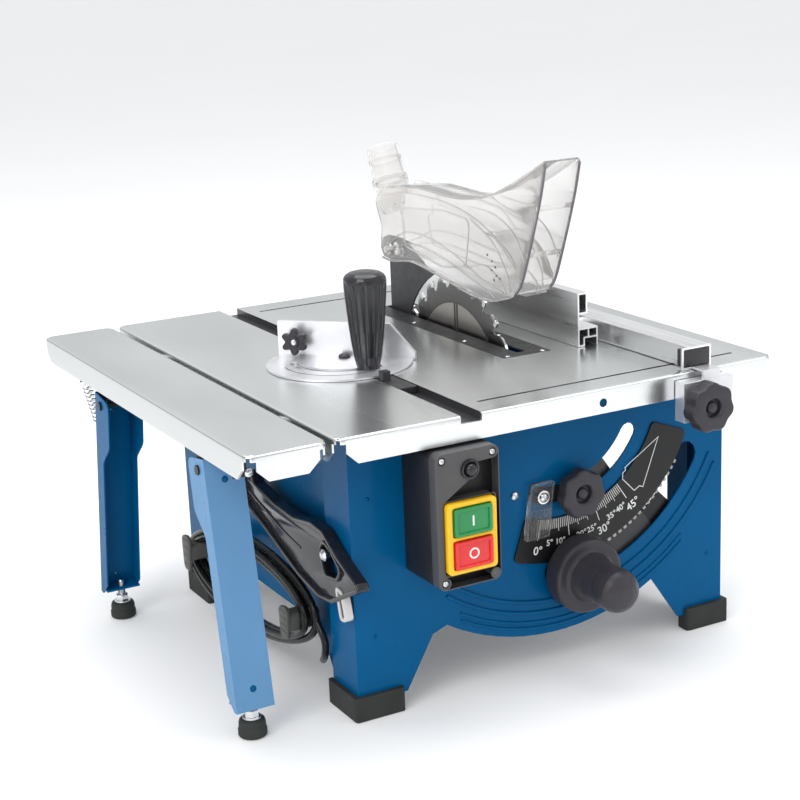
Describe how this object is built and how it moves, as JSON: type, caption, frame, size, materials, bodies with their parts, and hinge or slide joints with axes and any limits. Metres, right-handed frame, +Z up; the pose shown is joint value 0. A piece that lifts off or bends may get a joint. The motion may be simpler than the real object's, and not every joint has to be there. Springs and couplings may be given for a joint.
{
  "type": "table saw",
  "caption": "Small benchtop table saw with a tilting blade, clear guard, rip fence, mitre gauge, side table extension on fold-in legs and a bevel scale on the front",
  "frame": {"origin": "on the floor, under the middle of the overall box of the machine", "axes": "+X to the right as the operator stands in front, +Y away from the operator along the cut, +Z up"},
  "size_m": [0.542, 0.56, 0.4693],
  "materials": {
    "blue_paint": "glossy blue powder paint",
    "galvanised_steel": "galvanised sheet, fine grain",
    "dark_steel": "dark grey phosphated steel",
    "bright_steel": "bright zinc-plated steel",
    "grey_steel": "plain grey steel",
    "blade_steel": "ground saw steel with a dark rim",
    "satin_aluminium": "satin anodised aluminium",
    "black_paint": "satin black paint with white scale marks",
    "knob_plastic": "dark grey moulded plastic, fine grain",
    "gloss_black_plastic": "glossy black moulded plastic",
    "box_plastic": "black textured moulded plastic",
    "clear_plastic": "clear moulded plastic",
    "foot_rubber": "matt grey-green rubber",
    "cord_sheath": "glossy black cord sheath",
    "hook_plastic": "grey moulded plastic",
    "yellow_plastic": "yellow moulded plastic",
    "green_plastic": "green moulded plastic",
    "red_plastic": "red moulded plastic",
    "motor_paint": "dark grey painted casing"
  },
  "bodies": {
    "cabinet": {"front_panel": "blue_paint", "back_panel": "blue_paint", "left_side_panel": "blue_paint", "right_side_panel": "blue_paint", "foot_front_left": "foot_rubber", "foot_front_right": "foot_rubber", "foot_back_left": "foot_rubber", "foot_back_right": "foot_rubber", "main_table": "galvanised_steel", "table_extension": "galvanised_steel", "extension_bolt_front": "bright_steel", "extension_bolt_back": "bright_steel", "insert_plate": "dark_steel", "scale_band": "black_paint", "gear_rack": "grey_steel", "switch_box": "box_plastic", "switch_frame": "yellow_plastic", "leg_bracket_front": "black_paint", "leg_bracket_back": "black_paint", "cable_hook_front": "hook_plastic", "cable_hook_back": "hook_plastic", "cable_coil": "cord_sheath", "push_stick": "gloss_black_plastic", "push_stick_peg": "bright_steel"},
    "tilt_frame": {"tilt_carriage": "dark_steel", "riving_knife": "dark_steel", "bevel_pointer": "clear_plastic", "pointer_screw": "bright_steel", "guard_bolt": "bright_steel"},
    "lock": {"lock_knob": "knob_plastic"},
    "wheel": {"handwheel": "knob_plastic", "handwheel_shaft": "bright_steel"},
    "lift_screw": {"height_screw": "bright_steel"},
    "drive": {"gear_case": "satin_aluminium", "motor_housing": "motor_paint"},
    "spindle": {"arbor": "bright_steel", "saw_blade": "blade_steel", "arbor_nut": "bright_steel"},
    "guard": {"blade_guard": "clear_plastic"},
    "fence": {"rip_fence_profile": "satin_aluminium", "fence_tube": "satin_aluminium", "tube_cap_front": "gloss_black_plastic", "tube_cap_back": "gloss_black_plastic", "fence_clamp_bracket": "satin_aluminium"},
    "clamp": {"fence_clamp_knob": "knob_plastic"},
    "mitre_slider": {"mitre_bar": "dark_steel", "mitre_pivot_bolt": "dark_steel"},
    "mitre_protractor": {"mitre_head": "bright_steel", "mitre_fence_plate": "satin_aluminium"},
    "mitre_grip": {"mitre_handle": "knob_plastic"},
    "mitre_star": {"mitre_star_knob": "gloss_black_plastic"},
    "front_leg": {"leg_front": "blue_paint", "leg_front_foot": "foot_rubber"},
    "back_leg": {"leg_back": "blue_paint", "leg_back_foot": "foot_rubber", "leg_spring": "bright_steel"},
    "start": {"start_button": "green_plastic"},
    "stop": {"stop_button": "red_plastic"},
    "reset": {"reset_button": "gloss_black_plastic"}
  },
  "joints": [
    {"name": "bevel_tilt", "type": "hinge", "parent": "cabinet", "child": "tilt_frame", "pos_m": [0.056, -0.004, 0.262], "axis": [0, -1, 0], "range_deg": [0, 45]},
    {"name": "lock_knob_turn", "type": "hinge", "parent": "tilt_frame", "child": "lock", "pos_m": [0.0715, -0.204, 0.172], "axis": [0, -1, 0], "range_deg": [0, 180]},
    {"name": "handwheel_turn", "type": "hinge", "parent": "tilt_frame", "child": "wheel", "pos_m": [0.072, -0.204, 0.094], "axis": [0, -1, 0], "range_deg": [0, 4320]},
    {"name": "height_screw_turn", "type": "hinge", "parent": "tilt_frame", "child": "lift_screw", "pos_m": [0.072, -0.144, 0.15], "axis": [0, 0, 1], "range_deg": [-4320, 0]},
    {"name": "blade_height", "type": "slide", "parent": "tilt_frame", "child": "drive", "axis": [0, 0, 1], "range_m": [-0.058, 0]},
    {"name": "blade_spin", "type": "hinge", "parent": "drive", "child": "spindle", "pos_m": [0.0915, 0.038, 0.225], "axis": [1, 0, 0], "continuous": true},
    {"name": "guard_swing", "type": "hinge", "parent": "tilt_frame", "child": "guard", "pos_m": [0.0915, 0.148, 0.347], "axis": [-1, 0, 0], "range_deg": [-8, 35]},
    {"name": "fence_travel", "type": "slide", "parent": "cabinet", "child": "fence", "axis": [1, 0, 0], "range_m": [-0.03, 0.06]},
    {"name": "fence_clamp_turn", "type": "hinge", "parent": "fence", "child": "clamp", "pos_m": [0.173, -0.254, 0.25], "axis": [0, -1, 0], "range_deg": [0, 180]},
    {"name": "mitre_travel", "type": "slide", "parent": "cabinet", "child": "mitre_slider", "axis": [0, 1, 0], "range_m": [-0.1, 0.15]},
    {"name": "mitre_angle", "type": "hinge", "parent": "mitre_slider", "child": "mitre_protractor", "pos_m": [-0.061, -0.004, 0.2774], "axis": [0, 0, 1], "range_deg": [-10, 90]},
    {"name": "mitre_grip_turn", "type": "hinge", "parent": "mitre_slider", "child": "mitre_grip", "pos_m": [-0.061, -0.054, 0.28], "axis": [0, 0, 1], "range_deg": [0, 180]},
    {"name": "mitre_star_turn", "type": "hinge", "parent": "mitre_protractor", "child": "mitre_star", "pos_m": [-0.09105, 0.03454, 0.295], "axis": [-0.7071, -0.7071, 0], "range_deg": [0, 180]},
    {"name": "front_leg_fold", "type": "hinge", "parent": "cabinet", "child": "front_leg", "pos_m": [-0.2504, -0.12854, 0.23783], "axis": [1, 0, 0], "range_deg": [0, 34]},
    {"name": "back_leg_fold", "type": "hinge", "parent": "cabinet", "child": "back_leg", "pos_m": [-0.2504, 0.12054, 0.23783], "axis": [-1, 0, 0], "range_deg": [0, 34]},
    {"name": "start_button_press", "type": "slide", "parent": "cabinet", "child": "start", "axis": [0, 1, 0], "range_m": [0, 0.003], "stiffness_N_per_m": 300},
    {"name": "stop_button_press", "type": "slide", "parent": "cabinet", "child": "stop", "axis": [0, 1, 0], "range_m": [0, 0.003], "stiffness_N_per_m": 300},
    {"name": "reset_button_press", "type": "slide", "parent": "cabinet", "child": "reset", "axis": [0, 1, 0], "range_m": [0, 0.0025], "stiffness_N_per_m": 300}
  ],
  "couplings": [
    {"joint": "handwheel_turn", "follows": "blade_height", "rad_per_m": -1299.9},
    {"joint": "height_screw_turn", "follows": "blade_height", "rad_per_m": 1299.9}
  ]
}
